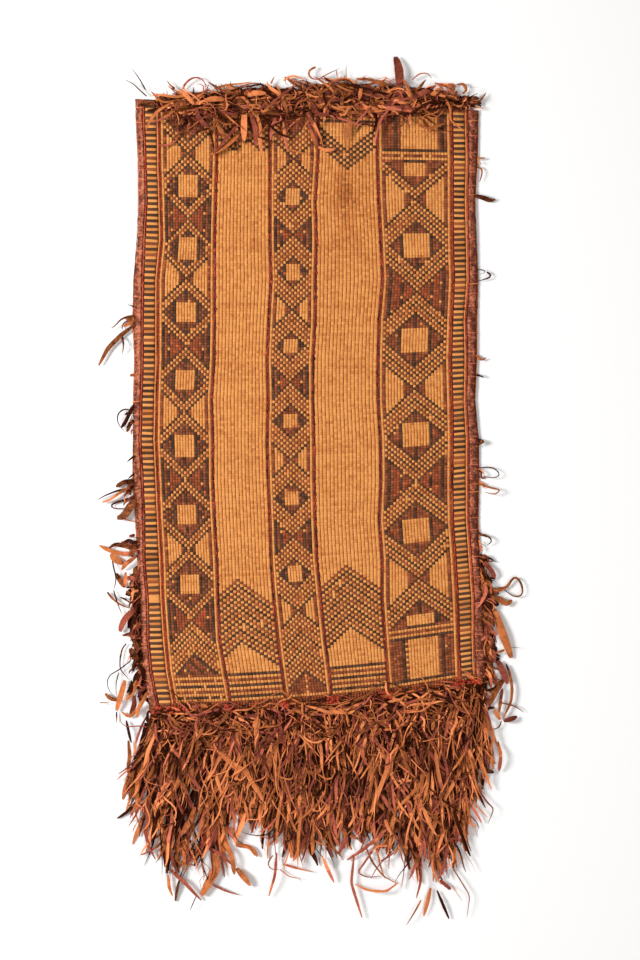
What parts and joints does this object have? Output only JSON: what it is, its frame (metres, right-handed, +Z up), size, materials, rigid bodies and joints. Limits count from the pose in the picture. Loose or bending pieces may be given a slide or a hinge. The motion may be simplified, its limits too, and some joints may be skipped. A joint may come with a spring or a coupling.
{
  "type": "tuareg mat",
  "caption": "Long floor mat of reeds and leather strips, with folded leather side bindings, side thongs in tufts and a cut leather fringe at each end.",
  "frame": {"origin": "on the underside of the woven panel, at the middle of its length and width", "axes": "+Z up, +Y from the long foot fringe to the head end, +X to the side with the wide patterned band"},
  "size_m": [0.739, 1.5014, 0.0178],
  "materials": {
    "reed_weave": "golden reeds with brown and black leather strips woven in",
    "brown_leather": "worn brown goatskin",
    "red_leather": "dyed red goatskin",
    "tan_leather": "dry tan goatskin, cut into ribbons"
  },
  "bodies": {
    "root": {"mat_panel": "reed_weave", "binding_left": "brown_leather", "binding_right": "brown_leather", "red_strip_1": "red_leather", "red_strip_2": "red_leather", "red_strip_3": "red_leather", "red_strip_4": "red_leather", "red_strip_5": "red_leather", "red_strip_6": "red_leather", "red_strip_7": "red_leather", "red_strip_8": "red_leather", "foot_fringe": "tan_leather", "head_fringe": "tan_leather", "side_thong_left": "tan_leather", "side_thong_right": "tan_leather"}
  },
  "joints": []
}
